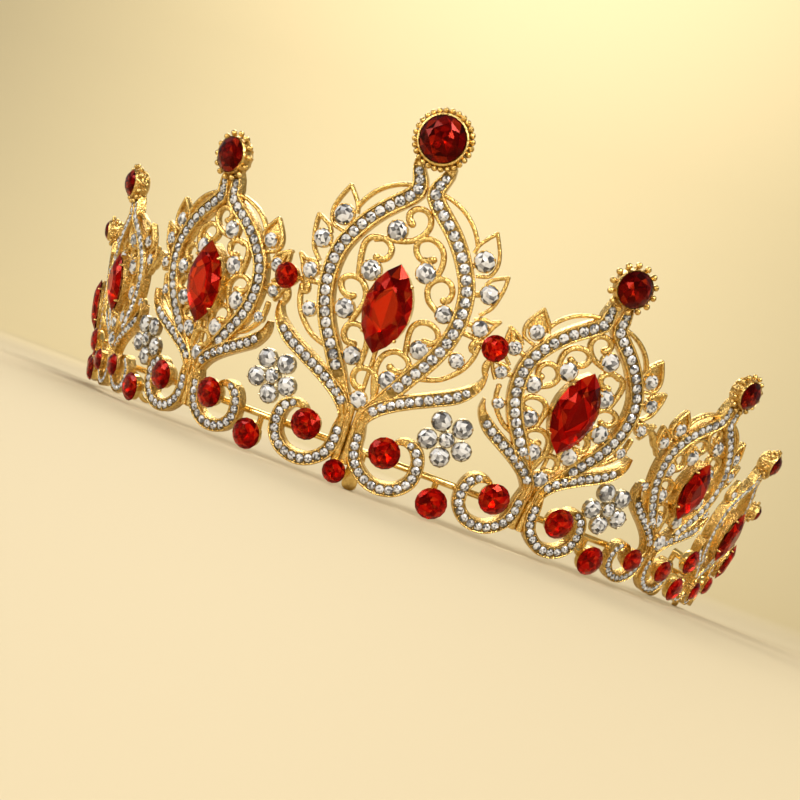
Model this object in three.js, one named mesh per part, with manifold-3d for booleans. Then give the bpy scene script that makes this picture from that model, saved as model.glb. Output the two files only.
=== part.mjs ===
// Baroque tiara: nine pierced leaf panels in an arc on a wire rail, each with a jewelled finial and a
// marquise stone.
// Millimetres, +Z up, front towards -Y, the origin on the table under the middle of the tiara's box.
import * as THREE from "three";
import { mergeVertices } from "three/addons/utils/BufferGeometryUtils.js";
import Module from "manifold-3d";

const wasm = await Module();
wasm.setup();

// Driving dimensions
const BASE_RADIUS = 72.7; // circle that the foot of the panels follows
const FLARE = THREE.MathUtils.degToRad(13); // outward lean of every panel
const LIFT = 1.6; // foot line above the table, so that only tabs and loops touch it
const CLEARANCE = 0.3; // between pieces that rest on each other
const THICK = { front: 1.0, back: -1.0 }; // stone-set bands of a panel, forward of and behind its surface
const THIN = { front: 0.5, back: -0.7 }; // filigree, leaves and arms
const SEAT = { front: 1.1, back: -0.7 }; // plates under the red stones
const CUP = { front: 1.3, back: -1.1 }; // finial cups
const BAND_WIDTH = 2.6;
const WIRE_WIDTH = 0.95;
const RAIL = { radius: 0.65, height: 5.2, depth: -2.0 }; // wire behind the panels
const TAB = { width: 2.8, thickness: 1.3 }; // hairpin tabs that hang from the rail
const LOOP = { radius: 3.0, wire: 0.6, inward: 0.6, length: 13.5 }; // eye at each end of the tiara
const KNEE = 12; // template height where a panel's foot ends and its leaf begins
const TEMPLATE_FINIAL = 59.2; // finial height of the template panel

// One row for each panel from the front to the ends: arc from the front, height of the finial,
// and the scales of the leaf's width, of the sepals' reach and of the foot
const PANELS = [
  { key: "centre", arc: 0, finial: 59.2, wide: 1, reach: 1, foot: 1 },
  { key: "1", arc: 32.7, finial: 48.2, wide: 0.92, reach: 0.78, foot: 0.9 },
  { key: "2", arc: 62.3, finial: 41.5, wide: 0.78, reach: 0.6, foot: 0.7 },
  { key: "3", arc: 85.7, finial: 33.7, wide: 0.58, reach: 0.42, foot: 0.5 },
  { key: "4", arc: 100.2, finial: 24.5, wide: 0.42, reach: 0.29, foot: 0.36 },
];

// The red stones of each panel in the same order: length of the marquise, radii of the finial's cup,
// of its stone and of the foot's stones, and how many stones the foot has
const SETTINGS = [
  { navette: 15.6, cup: 5.2, ruby: 3.8, bead: 2.8, beads: 2 },
  { navette: 15.2, cup: 4.5, ruby: 3.1, bead: 2.8, beads: 2 },
  { navette: 12.0, cup: 4.0, ruby: 2.6, bead: 2.3, beads: 2 },
  { navette: 11.6, cup: 3.4, ruby: 2.1, bead: 2.1, beads: 1 },
  { navette: 8.8, cup: 2.6, ruby: 1.6, bead: 0, beads: 0 },
];
const NAVETTE_RATIO = 0.53; // width of a marquise stone against its length
const NAVETTE_HEIGHT = 30.3; // template height of its centre

// Right half of the template panel, as [across, up] from its foot
const OGEE = [
  [2.4, 54.6], [1.5, 51], [6.1, 45.2], [11, 37.6],
  [12, 31.5], [10.2, 24.6], [6, 18.2], [2.6, 13.2],
];
const SEPAL = [[1.9, 8.5], [2.4, 12.6], [7.9, 17.6], [14, 20.4], [19.2, 25.6]];
const SCROLL = { across: 7.4, up: 6.2, radius: 5.5, from: 165, to: 415, width: 2.3, tail: 1.3 };
const BEAD = [7.1, 7.2]; // red stone inside the scroll
const NECK_VINE = [[3.4, 50], [8, 47.4], [11.2, 43.6]];
const SIDE_VINE = [[16.4, 29], [15.6, 26], [12.6, 22.6], [9, 21.4]];

// Leaves outside the ogee, each the setting of a clear stone: where the stone sits, the leaf's tip,
// its root on the band, the radius of the stone, and the last panel that has it
const LEAVES = [
  { stone: [12.7, 43.4], tip: [13.4, 47.9], root: [10, 39.6], radius: 1.7, last: 2 },
  { stone: [15.2, 38.4], tip: [17, 41.7], root: [12, 35.6], radius: 1.5, last: 1 },
  { stone: [15.5, 32.6], tip: [18, 34.4], root: [12, 31.4], radius: 1.4, last: 0 },
  { stone: [13.6, 25.8], tip: [15.4, 27.2], root: [10.6, 25], radius: 1.3, last: 1 },
];

// Volutes around the marquise: a clear stone, the direction of its curl in degrees, the way the curl
// turns, and the last panel that has it
const VOLUTES = [
  { stone: [2.6, 43.4], facing: 150, turn: -1, last: 1 },
  { stone: [-3.9, 38], facing: 79, turn: -1, last: 1 },
  { stone: [5, 35.7], facing: 83, turn: 1, last: 1 },
  { stone: [-9, 32.5], facing: 60, turn: 1, last: 2 },
  { stone: [7.8, 28], facing: 107, turn: -1, last: 2 },
  { stone: [-7, 25.4], facing: 79, turn: 1, last: 0 },
  { stone: [3.7, 20.9], facing: 78, turn: -1, last: 1 },
  { stone: [-3.7, 18.8], facing: 72, turn: 1, last: 2 },
  { stone: [0.2, 14.4], facing: 82, turn: -1, last: 0 },
];
const VOLUTE = { stone: 1.6, curl: 2.0, sweep: 285 };

// Red stones on the rail between neighbouring panels: arc from the front, height, and the radii of
// the stone and of the cup behind it
const RAIL_STONES = [
  { key: "1", arc: 17.0, up: 1.9, radius: 2.8, cup: 2.4 },
  { key: "2", arc: 48.3, up: 2.2, radius: 2.8, cup: 2.4 },
  { key: "3", arc: 75.0, up: 2.6, radius: 2.6, cup: 2.0 },
  { key: "3_upper", arc: 75.0, up: 8.8, radius: 2.6, cup: 1.8 },
  { key: "4", arc: 94.2, up: 5.6, radius: 2.2, cup: 0.9 },
];
const FOOT_STONE = { key: "foot_stone_centre", arc: 0, up: 1.2, radius: 2.1, cup: 1.6 };
const SIDE_STONE = { across: 18.7, up: 30.4, radius: 2.3 }; // beside the centre panel's leaf
const FLOWERS = [{ key: "1", arc: 15.6, up: 12.9 }, { key: "2", arc: 47.5, up: 11.8 }];
const FLOWER = { petals: 5, ring: 3.1, stone: 1.7, heart: 1.85, turn: 54 };
const TAB_ARC = 104.5; // end tabs
const FRONT_TAB_ARC = 2.6; // the third tab, beside the foot stone

const gold = new THREE.MeshStandardMaterial({ color: 0xd9a441, roughness: 0.28, metalness: 1 });
const red = new THREE.MeshStandardMaterial({ color: 0xa8100c, roughness: 0.06, metalness: 0 });
const clear = new THREE.MeshStandardMaterial({ color: 0xe6e4de, roughness: 0.05, metalness: 0 });

// A closed three.js geometry as a solid that can be joined and cut.
function solidOf(geometry) {
  const bare = geometry.clone();
  bare.deleteAttribute("normal");
  bare.deleteAttribute("uv");
  const merged = mergeVertices(bare, 1e-4);
  const corners = merged.index.array;
  const triangles = [];
  for (let i = 0; i < corners.length; i += 3) {
    const [a, b, c] = [corners[i], corners[i + 1], corners[i + 2]];
    if (a !== b && b !== c && c !== a) triangles.push(a, b, c);
  }
  const vertProperties = new Float32Array(merged.attributes.position.array);
  const triVerts = new Uint32Array(triangles);
  return new wasm.Manifold(new wasm.Mesh({ numProp: 3, vertProperties, triVerts }));
}

// The union of several closed geometries, as a geometry.
function join(geometries) {
  const mesh = geometries.map(solidOf).reduce((whole, piece) => whole.add(piece)).getMesh();
  const joined = new THREE.BufferGeometry();
  joined.setAttribute("position", new THREE.BufferAttribute(new Float32Array(mesh.vertProperties), 3));
  joined.setIndex(new THREE.BufferAttribute(new Uint32Array(mesh.triVerts), 1));
  return joined;
}

// The tiara's surface: arc from the front at the foot, distance across at true length, height and depth.
function onTiara(arc, across, up, depth) {
  const radius = BASE_RADIUS + up * Math.sin(FLARE) + depth * Math.cos(FLARE);
  const angle = arc / BASE_RADIUS + across / (BASE_RADIUS + up * Math.sin(FLARE));
  const height = (up + LIFT) * Math.cos(FLARE) - depth * Math.sin(FLARE);
  return new THREE.Vector3(radius * Math.sin(angle), -radius * Math.cos(angle), height);
}

// Bends a flat geometry, x across, y up and z forward, onto the tiara at the given arc.
function bend(geometry, arc) {
  const place = geometry.attributes.position;
  for (let i = 0; i < place.count; i++) {
    const point = onTiara(arc, place.getX(i), place.getY(i), place.getZ(i));
    place.setXYZ(i, point.x, point.y, point.z);
  }
  return geometry;
}

// Sets a mesh on the tiara's surface without bending it, its z axis pointing out of the surface.
function setOn(mesh, arc, across, up, depth) {
  const angle = arc / BASE_RADIUS + across / (BASE_RADIUS + up * Math.sin(FLARE));
  mesh.position.copy(onTiara(arc, across, up, depth));
  mesh.rotation.set(Math.PI / 2 + FLARE, 0, angle, "ZXY");
  return mesh;
}

// Flat building blocks of a panel

const shapeOf = (outline) => new THREE.Shape(outline.map(([x, y]) => new THREE.Vector2(x, y)));

function slab(outline, { front, back }) {
  const options = { depth: front - back, bevelEnabled: false, steps: 1 };
  return new THREE.ExtrudeGeometry(shapeOf(outline), options).translate(0, 0, back);
}

function ribbon(points, widths, layer) {
  const left = [];
  const right = [];
  points.forEach(([x, y], i) => {
    const [x0, y0] = points[Math.max(i - 1, 0)];
    const [x1, y1] = points[Math.min(i + 1, points.length - 1)];
    const along = Math.hypot(x1 - x0, y1 - y0);
    const half = widths(i / (points.length - 1)) / 2;
    const [nx, ny] = [(-(y1 - y0) / along) * half, ((x1 - x0) / along) * half];
    left.push([x + nx, y + ny]);
    right.unshift([x - nx, y - ny]);
  });
  return slab([...left, ...right], layer);
}

function smooth(points, steps) {
  const curve = new THREE.SplineCurve(points.map(([x, y]) => new THREE.Vector2(x, y)));
  return curve.getPoints(steps).map((point) => [point.x, point.y]);
}

function arcOf([x, y], radius, from, to, steps) {
  return Array.from({ length: steps + 1 }, (_, i) => {
    const angle = THREE.MathUtils.degToRad(from + ((to - from) * i) / steps);
    return [x + radius * Math.cos(angle), y + radius * Math.sin(angle)];
  });
}

function disc(centre, radius, layer, sides = 8) {
  return slab(arcOf(centre, radius, 0, 360, sides).slice(1), layer);
}

// A small clear stone with a table and eight facets, in a setting as deep as the filigree.
function stud([x, y], radius) {
  const front = THIN.front + 0.9;
  const cut = new THREE.CylinderGeometry(radius * 0.6, radius, front - THIN.back, 8);
  return cut.rotateX(Math.PI / 2).translate(x, y, (front + THIN.back) / 2);
}

const mirrored = (points, side) => points.map(([x, y]) => [x * side, y]);

// Template to panel: the foot keeps its own scale, and the leaf above the knee is stretched to the finial.
function fitter(row) {
  const knee = KNEE * row.foot;
  const stretch = (row.finial - knee) / (TEMPLATE_FINIAL - KNEE);
  const up = (y) => (y < KNEE ? y * row.foot : knee + (y - KNEE) * stretch);
  return { leaf: ([x, y]) => [x * row.wide, up(y)], sepal: ([x, y]) => [x * row.reach, up(y)], up };
}

// Everything cast in one panel, flat
function panelPieces(row, index) {
  const fit = fitter(row);
  const scale = Math.min(1, 0.45 + 0.55 * row.wide);
  const band = BAND_WIDTH * scale;
  const wire = () => WIRE_WIDTH * scale;
  const hand = index === 0 ? -1 : 1;
  const pieces = [];

  for (const side of [-1, 1]) {
    const ogee = smooth(mirrored(OGEE.map(fit.leaf), side), 11 - index);
    const sepal = smooth(mirrored(SEPAL.map(fit.sepal), side), 5);
    pieces.push(ribbon(ogee, () => band, THICK));
    pieces.push(ribbon(sepal, (t) => band * (1.05 - 0.75 * t * t), THICK));
    pieces.push(...footScroll(row, index, side));
    if (index < 3) pieces.push(ribbon(smooth(mirrored(NECK_VINE.map(fit.leaf), side), 3), wire, THIN));
    if (index < 2) {
      const vine = SIDE_VINE.map(fit.leaf).map(([x, y]) => [x * (index ? 0.88 : 1), y]);
      pieces.push(ribbon(smooth(mirrored(vine, side), 4), wire, THIN));
    }
    const leaves = LEAVES.filter((entry) => index <= entry.last);
    pieces.push(...leaves.map((leaf) => leafPiece(leaf, fit, side, scale)));
    if (index === 0) pieces.push(...sideSetting(side));
  }
  for (const volute of VOLUTES.filter((entry) => index <= entry.last)) {
    pieces.push(...volutePieces(volute, fit, hand, scale));
  }
  pieces.push(...marquiseSeat(row, fit));
  pieces.push(finialSeat(row));
  pieces.push(ribbon([[0, 1.2], [0, KNEE * row.foot + 1.5]], () => 3.2 * row.foot, THICK));
  return pieces;
}

// The scroll at a panel's foot, with the seat of its red stone.
function footScroll(row, index, side) {
  const centre = [SCROLL.across * row.foot, SCROLL.up * row.foot];
  const path = arcOf(centre, SCROLL.radius * row.foot, SCROLL.from, SCROLL.to, 9 - (index >> 1));
  const width = (t) => (SCROLL.width + (SCROLL.tail - SCROLL.width) * t * t) * Math.min(1, row.foot + 0.15);
  const pieces = [ribbon(mirrored(path, side), width, THICK)];
  if (row.beads === 2) {
    const [x, y] = [BEAD[0] * row.foot * side, BEAD[1] * row.foot];
    const tail = path[path.length - 1];
    pieces.push(disc([x, y], row.bead * 0.85, SEAT));
    pieces.push(ribbon([[x, y], [tail[0] * side, tail[1]]], () => 1.4, THIN));
  }
  return pieces;
}

// A leaf that widens from its root on the band to its stone and narrows to its tip.
function leafPiece(leaf, fit, side, scale) {
  const [[x, y], root, tip] = [leaf.stone, leaf.root, leaf.tip].map(fit.leaf);
  const along = Math.hypot(tip[0] - root[0], tip[1] - root[1]);
  const [nx, ny] = [-(tip[1] - root[1]) / along, (tip[0] - root[0]) / along];
  const rim = leaf.radius * scale + 0.35;
  const beside = ([px, py], half) => [px + nx * half, py + ny * half];
  const outline = [beside(root, 0.6), beside([x, y], rim), tip, beside([x, y], -rim), beside(root, -0.6)];
  return slab(mirrored(outline, side), THIN);
}

// A clear stone with a curl of wire round from it, tied to the nearest place on the ogee band.
function volutePieces(volute, fit, hand, scale) {
  const [x, y] = fit.leaf(volute.stone);
  const facing = THREE.MathUtils.degToRad(volute.facing);
  const away = (VOLUTE.curl + VOLUTE.stone * 0.6) * scale;
  const curl = [x + away * Math.cos(facing), y + away * Math.sin(facing)];
  const start = volute.facing + 180;
  const path = arcOf(curl, VOLUTE.curl * scale, start, start + volute.turn * VOLUTE.sweep, 5);
  const band = smooth(mirrored(OGEE.map(fit.leaf), Math.sign(x)), 24);
  const gap = ([bx, by]) => Math.hypot(bx - x, by - y);
  const tie = band.reduce((best, point) => (gap(point) < gap(best) ? point : best));
  return [
    ribbon(mirrored(path, hand), () => WIRE_WIDTH * scale, THIN),
    ribbon(mirrored([[x, y], tie], hand), () => WIRE_WIDTH * scale, THIN),
    disc([x * hand, y], VOLUTE.stone * scale, THIN, 6),
  ];
}

// Outline of a marquise stone: two arcs that meet at its tips.
function navetteOutline(length, width, corners) {
  const radius = (length * length + width * width) / (4 * width);
  const half = Math.asin(length / 2 / radius);
  const flank = (turn) =>
    Array.from({ length: corners }, (_, i) => {
      const angle = -half + (2 * half * i) / corners;
      return [turn * (radius * Math.cos(angle) - radius + width / 2), turn * radius * Math.sin(angle)];
    });
  return [...flank(1), ...flank(-1)];
}

function marquiseSeat(row, fit) {
  const middle = fit.up(NAVETTE_HEIGHT);
  const outline = navetteOutline(row.navette * 0.94, row.navette * NAVETTE_RATIO * 0.9, 4);
  const stem = ribbon([[0, middle - row.navette * 0.4], [0, fit.up(KNEE)]], () => 1.3, THIN);
  return [slab(outline.map(([x, y]) => [x, y + middle]), SEAT), stem];
}

// The beaded cup of a finial, its rim scalloped by the beads.
function finialSeat(row) {
  const beads = 8;
  const rim = arcOf([0, row.finial], 1, 0, 360, beads * 2).slice(1);
  const outline = rim.map(([x, y], i) => {
    const radius = row.cup * (i % 2 ? 1 : 0.91);
    return [x * radius, row.finial + (y - row.finial) * radius];
  });
  return slab(outline, CUP);
}

// The cup of the round red stone beside the centre panel, on a short arm from the band.
function sideSetting(side) {
  const centre = [SIDE_STONE.across * side, SIDE_STONE.up];
  return [
    disc(centre, SIDE_STONE.radius * 0.65, SEAT),
    ribbon([centre, [11.5 * side, SIDE_STONE.up + 0.4]], () => 1.2, THIN),
  ];
}

// A cut stone: a flat table, a ring of crown facets, a girdle and the same facets behind.
function cutStone(outline, inset, crown) {
  const facets = { bevelThickness: crown, bevelSize: inset, bevelOffset: -inset, bevelSegments: 1 };
  const geometry = new THREE.ExtrudeGeometry(shapeOf(outline), { depth: 0.5, steps: 1, ...facets });
  return geometry.translate(0, 0, crown);
}

// A round stone: a table, eight crown facets and a flat back.
function roundStone(radius) {
  const tall = radius * 0.72;
  const cut = new THREE.CylinderGeometry(radius * 0.58, radius, tall, 8);
  return cut.rotateX(Math.PI / 2).translate(0, 0, tall / 2);
}

function marquiseStone(length) {
  const width = length * NAVETTE_RATIO;
  return cutStone(navetteOutline(length, width, 5), width * 0.26, width * 0.17);
}

// A piece with its own copy of a finish.
function named(name, geometry, finish) {
  const mesh = new THREE.Mesh(geometry, finish.clone());
  mesh.name = name;
  return mesh;
}

// The rail behind the panels, with the cups of the stones that it carries and the hairpin tabs.
function railPieces() {
  const reach = TAB_ARC + 1.2;
  const bends = 40;
  const points = Array.from({ length: bends + 1 }, (_, i) => {
    return onTiara(reach * ((2 * i) / bends - 1), 0, RAIL.height, RAIL.depth);
  });
  const pieces = [wireAlong(points, RAIL.radius, bends)];
  const deep = { front: SEAT.front, back: RAIL.depth - 0.21 };
  const post = { front: RAIL.depth + 0.74, back: RAIL.depth - 0.27 };
  for (const stone of [FOOT_STONE, ...RAIL_STONES]) {
    for (const side of stone.arc ? [-1, 1] : [1]) {
      const cup = [disc([0, stone.up], stone.cup, stone === FOOT_STONE ? post : deep, 6)];
      if (Math.abs(stone.up - RAIL.height) > stone.cup) {
        const past = RAIL.height + Math.sign(RAIL.height - stone.up) * 0.3;
        cup.push(ribbon([[0, stone.up], [0, past]], () => 1.2, post));
      }
      pieces.push(bend(join(cup), stone.arc * side));
    }
  }
  for (const arc of [-TAB_ARC, FRONT_TAB_ARC, TAB_ARC]) pieces.push(tab(arc));
  return pieces;
}

// Round wire along a smooth path, six-sided.
function wireAlong(points, radius, steps) {
  const section = shapeOf(arcOf([0, 0], radius, 0, 360, 6).slice(1));
  const extrudePath = new THREE.CatmullRomCurve3(points);
  return new THREE.ExtrudeGeometry(section, { steps, extrudePath, bevelEnabled: false });
}

// A tab from the rail down to the table, leaning with the panels, with a flat foot.
function tab(arc) {
  const top = onTiara(arc, 0, RAIL.height + 0.17, RAIL.depth);
  const block = new THREE.BoxGeometry(TAB.width, TAB.thickness, top.z).translate(0, 0, -top.z / 2);
  block.applyMatrix4(new THREE.Matrix4().makeShear(0, 0, 0, 0, 0, -Math.tan(FLARE)));
  return block.rotateZ(arc / BASE_RADIUS).translate(top.x, top.y, top.z);
}

// A wire with an eye at its end, soldered inside the last panel and bent inwards.
function endLoop(side) {
  const start = onTiara(TAB_ARC - 6, 0, RAIL.height + 1.6 + CLEARANCE, RAIL.depth);
  const heading = TAB_ARC / BASE_RADIUS + LOOP.inward;
  const along = new THREE.Vector3(Math.cos(heading), Math.sin(heading), 0);
  const centre = start.clone().addScaledVector(along, LOOP.length);
  centre.z = LOOP.radius + LOOP.wire;
  const turn = Math.PI * 2 - 0.5;
  const points = [start.clone(), start.clone().lerp(centre, 0.4)];
  for (let i = 0; i <= 12; i++) {
    const angle = Math.PI - 0.3 + (turn * i) / 12;
    const point = centre.clone().addScaledVector(along, LOOP.radius * Math.cos(angle));
    points.push(point.setZ(centre.z + LOOP.radius * Math.sin(angle)));
  }
  for (const point of points) point.x *= side;
  return wireAlong(points, LOOP.wire, 22);
}

// A flower of clear stones around a clear heart, their settings fused side by side.
function flower() {
  const petals = arcOf([0, 0], FLOWER.ring, FLOWER.turn, FLOWER.turn + 360, FLOWER.petals).slice(1);
  return join([stud([0, 0], FLOWER.heart), ...petals.map((petal) => stud(petal, FLOWER.stone))]);
}

const tiara = new THREE.Group();
const label = (row, side) => (row.arc === 0 ? row.key : `${side < 0 ? "left" : "right"}_${row.key}`);

PANELS.map((panel, index) => ({ ...panel, ...SETTINGS[index] })).forEach((row, index) => {
  const fit = fitter(row);
  for (const side of row.arc ? [-1, 1] : [1]) {
    const arc = row.arc * side;
    tiara.add(named(`panel_${label(row, side)}`, bend(join(panelPieces(row, index)), arc), gold));
    const stone = named(`marquise_${label(row, side)}`, marquiseStone(row.navette), red);
    tiara.add(setOn(stone, arc, 0, fit.up(NAVETTE_HEIGHT), SEAT.front + CLEARANCE));
    const ruby = named(`finial_stone_${label(row, side)}`, roundStone(row.ruby), red);
    tiara.add(setOn(ruby, arc, 0, row.finial, CUP.front + CLEARANCE));
    const [x, y] = [BEAD[0] * row.foot, BEAD[1] * row.foot];
    const beads = [[], [["", 0]], [["_a", -x], ["_b", x]]][row.beads];
    for (const [end, across] of beads) {
      const bead = named(`scroll_stone_${label(row, side)}${end}`, roundStone(row.bead), red);
      tiara.add(setOn(bead, arc, across, y, SEAT.front + CLEARANCE));
    }
  }
});

const rail = named("rail", join(railPieces()), gold);
tiara.add(rail);
for (const side of [-1, 1]) {
  const which = side < 0 ? "left" : "right";
  tiara.add(named(`end_loop_${which}`, endLoop(side), gold));
  const sideStone = named(`side_stone_${which}`, roundStone(SIDE_STONE.radius), red);
  tiara.add(setOn(sideStone, 0, SIDE_STONE.across * side, SIDE_STONE.up, SEAT.front + CLEARANCE));
  for (const stone of RAIL_STONES) {
    const mesh = named(`rail_stone_${which}_${stone.key}`, roundStone(stone.radius), red);
    tiara.add(setOn(mesh, stone.arc * side, 0, stone.up, SEAT.front + CLEARANCE));
  }
  for (const row of FLOWERS) {
    const mesh = named(`flower_${which}_${row.key}`, flower(), clear);
    tiara.add(setOn(mesh, row.arc * side, 0, row.up, 0));
  }
}
const footStone = named(FOOT_STONE.key, roundStone(FOOT_STONE.radius), red);
tiara.add(setOn(footStone, 0, 0, FOOT_STONE.up, SEAT.front + CLEARANCE));

// The origin goes under the middle of the whole tiara.
const box = new THREE.Box3().setFromObject(tiara, true);
const whole = new THREE.Group();
tiara.position.set(-(box.min.x + box.max.x) / 2, -(box.min.y + box.max.y) / 2, -box.min.z);
whole.add(tiara);

export default whole;
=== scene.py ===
"""Looks of a jewelled tiara: cast gold openwork with set stones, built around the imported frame."""

import logging
import math
from dataclasses import dataclass, field
from enum import Enum
from typing import Callable, Iterable, Sequence

import bmesh
import bpy
import numpy as np
from mathutils import Matrix, Vector


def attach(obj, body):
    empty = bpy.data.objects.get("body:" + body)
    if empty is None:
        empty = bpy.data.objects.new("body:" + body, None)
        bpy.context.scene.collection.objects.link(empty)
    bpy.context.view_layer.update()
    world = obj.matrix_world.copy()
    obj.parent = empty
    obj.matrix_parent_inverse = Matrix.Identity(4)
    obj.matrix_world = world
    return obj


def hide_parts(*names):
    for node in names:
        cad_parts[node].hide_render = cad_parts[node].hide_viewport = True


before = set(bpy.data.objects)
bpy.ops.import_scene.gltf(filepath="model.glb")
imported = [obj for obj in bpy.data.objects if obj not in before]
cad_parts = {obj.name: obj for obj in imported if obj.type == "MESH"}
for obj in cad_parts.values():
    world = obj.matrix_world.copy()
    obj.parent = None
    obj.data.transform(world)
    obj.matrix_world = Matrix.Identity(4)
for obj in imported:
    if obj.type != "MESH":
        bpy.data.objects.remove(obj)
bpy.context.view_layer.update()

MM = 0.001
ROOT = "root"
# Attribute holding each stone facet's random tone, which picks its painted reflection colour from dark to
# bright.
PAINTED_SPARKLE_TONE = "tone"
log = logging.getLogger("tiara")

Flat = tuple[float, float]
Place = Callable[[Vector], Vector]
Solid = tuple[float, float, float]
PaintedSparkleRamp = tuple[tuple[float, Solid], ...]
Ring = tuple[float, int, float, float]


class Side(Enum):
    """A side of the tiara as the viewer sees it."""

    LEFT = -1
    RIGHT = 1


class Cut(Enum):
    """How a stone is cut."""

    CHIP = "chip"
    BRILLIANT = "brilliant"
    SINGLE = "single"
    NAVETTE = "navette"


# The tiara's surface


@dataclass(frozen=True)
class Surface:
    """The leaning ring that every panel lies on, in millimetres of arc, height and depth."""

    base_radius: float = 72.7
    flare: float = math.radians(13)
    lift: float = 1.6
    axis_y: float = 45.5

    def radius(self, up: float) -> float:
        """Radius of the surface at a height along the lean."""
        return self.base_radius + up * math.sin(self.flare)

    def point(self, arc: float, across: float, up: float, depth: float) -> Vector:
        """Place on the surface.

        Args:
            arc: Distance from the front along the foot.
            across: Distance from there along the surface at true length.
            up: Height along the lean, from the foot line.
            depth: Distance out of the surface.

        Returns:
            The point in the row frame, in metres.
        """
        reach = self.radius(up) + depth * math.cos(self.flare)
        angle = arc / self.base_radius + across / self.radius(up)
        height = (up + self.lift) * math.cos(self.flare) - depth * math.sin(self.flare)
        return Vector((reach * math.sin(angle), self.axis_y - reach * math.cos(angle), height)) * MM

    def bent(self, arc: float) -> Place:
        """A map from a flat panel, x across, y up and z forward, onto the surface at an arc."""
        return lambda flat: self.point(arc, flat.x, flat.y, flat.z)

    def frame(self, arc: float, across: float, up: float, depth: float) -> Matrix:
        """Axes for a stiff piece in millimetres, its z pointing out of the surface.

        Args:
            arc: Distance from the front along the foot.
            across: Distance from there along the surface.
            up: Height along the lean.
            depth: Distance out of the surface.

        Returns:
            The matrix that places the piece in the row frame.
        """
        angle = arc / self.base_radius + across / self.radius(up)
        out = Vector((math.sin(angle), -math.cos(angle), 0))
        rise = out * math.sin(self.flare) + Vector((0, 0, math.cos(self.flare)))
        front = out * math.cos(self.flare) - Vector((0, 0, math.sin(self.flare)))
        side = Vector((math.cos(angle), math.sin(angle), 0))
        turn = Matrix((side, rise, front)).transposed().to_4x4()
        return Matrix.Translation(self.point(arc, across, up, depth)) @ turn @ Matrix.Scale(MM, 4)


# Finishes


def new_material(name: str) -> tuple[bpy.types.Material, bpy.types.Node]:
    """A node material and its shader.

    Args:
        name: Name of the material.

    Returns:
        The material and its Principled shader node.
    """
    material = bpy.data.materials.new(name)
    material.use_nodes = True
    return material, material.node_tree.nodes["Principled BSDF"]


def object_noise(material: bpy.types.Material, scale: float, detail: float) -> bpy.types.Node:
    """A noise texture on Object coordinates.

    Args:
        material: Material that gets the node.
        scale: Noise scale, in cycles to a metre.
        detail: Octaves of the noise.

    Returns:
        The noise node.
    """
    nodes, links = material.node_tree.nodes, material.node_tree.links
    coordinates = nodes.new("ShaderNodeTexCoord")
    noise = nodes.new("ShaderNodeTexNoise")
    noise.inputs["Scale"].default_value = scale
    noise.inputs["Detail"].default_value = detail
    links.new(coordinates.outputs["Object"], noise.inputs["Vector"])
    return noise


@dataclass(frozen=True)
class Gold:
    """Plated gold: grainy where it is cast, smooth where it is drawn wire."""

    name: str
    light: Solid
    dark: Solid
    roughness: float
    grain: float
    grain_scale: float = 3000.0
    grain_depth: float = 0.0002
    tone_scale: float = 2000.0
    tone_span: Flat = (0.35, 0.62)
    rough_span: Flat = (0.7, 1.4)

    def material(self) -> bpy.types.Material:
        """The finish as a material.

        Returns:
            The material, its tone, roughness and grain varied by noise.
        """
        material, shader = new_material(self.name)
        nodes, links = material.node_tree.nodes, material.node_tree.links
        shader.inputs["Metallic"].default_value = 1.0
        tone = object_noise(material, self.tone_scale, 4.0)
        ramp = nodes.new("ShaderNodeValToRGB")
        tones = zip(ramp.color_ramp.elements, self.tone_span, (self.dark, self.light))
        for element, position, colour in tones:
            element.position, element.color = position, (*colour, 1)
        links.new(tone.outputs["Fac"], ramp.inputs["Fac"])
        links.new(ramp.outputs["Color"], shader.inputs["Base Color"])
        grain = object_noise(material, self.grain_scale, 3.0)
        rough = nodes.new("ShaderNodeMapRange")
        rough.inputs["To Min"].default_value = self.roughness * self.rough_span[0]
        rough.inputs["To Max"].default_value = self.roughness * self.rough_span[1]
        links.new(grain.outputs["Fac"], rough.inputs["Value"])
        links.new(rough.outputs["Result"], shader.inputs["Roughness"])
        bump = nodes.new("ShaderNodeBump")
        bump.inputs["Strength"].default_value = self.grain
        bump.inputs["Distance"].default_value = self.grain_depth
        links.new(grain.outputs["Fac"], bump.inputs["Height"])
        links.new(bump.outputs["Normal"], shader.inputs["Normal"])
        return material


def facet_colours(material: bpy.types.Material, tones: PaintedSparkleRamp) -> bpy.types.NodeSocket:
    """Painted reflections: colours picked for each facet by its own random tone, dark to bright.

    Args:
        material: Material that gets the nodes.
        tones: Places on the ramp and their colours, dark to bright painted reflections.

    Returns:
        The colour socket.
    """
    nodes, links = material.node_tree.nodes, material.node_tree.links
    facet = nodes.new("ShaderNodeAttribute")
    facet.attribute_name = PAINTED_SPARKLE_TONE
    ramp = nodes.new("ShaderNodeValToRGB")
    while len(ramp.color_ramp.elements) < len(tones):
        ramp.color_ramp.elements.new(0.5)
    for element, (position, colour) in zip(ramp.color_ramp.elements, tones):
        element.position, element.color = position, (*colour, 1)
    links.new(facet.outputs["Fac"], ramp.inputs["Fac"])
    return ramp.outputs["Color"]


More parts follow.
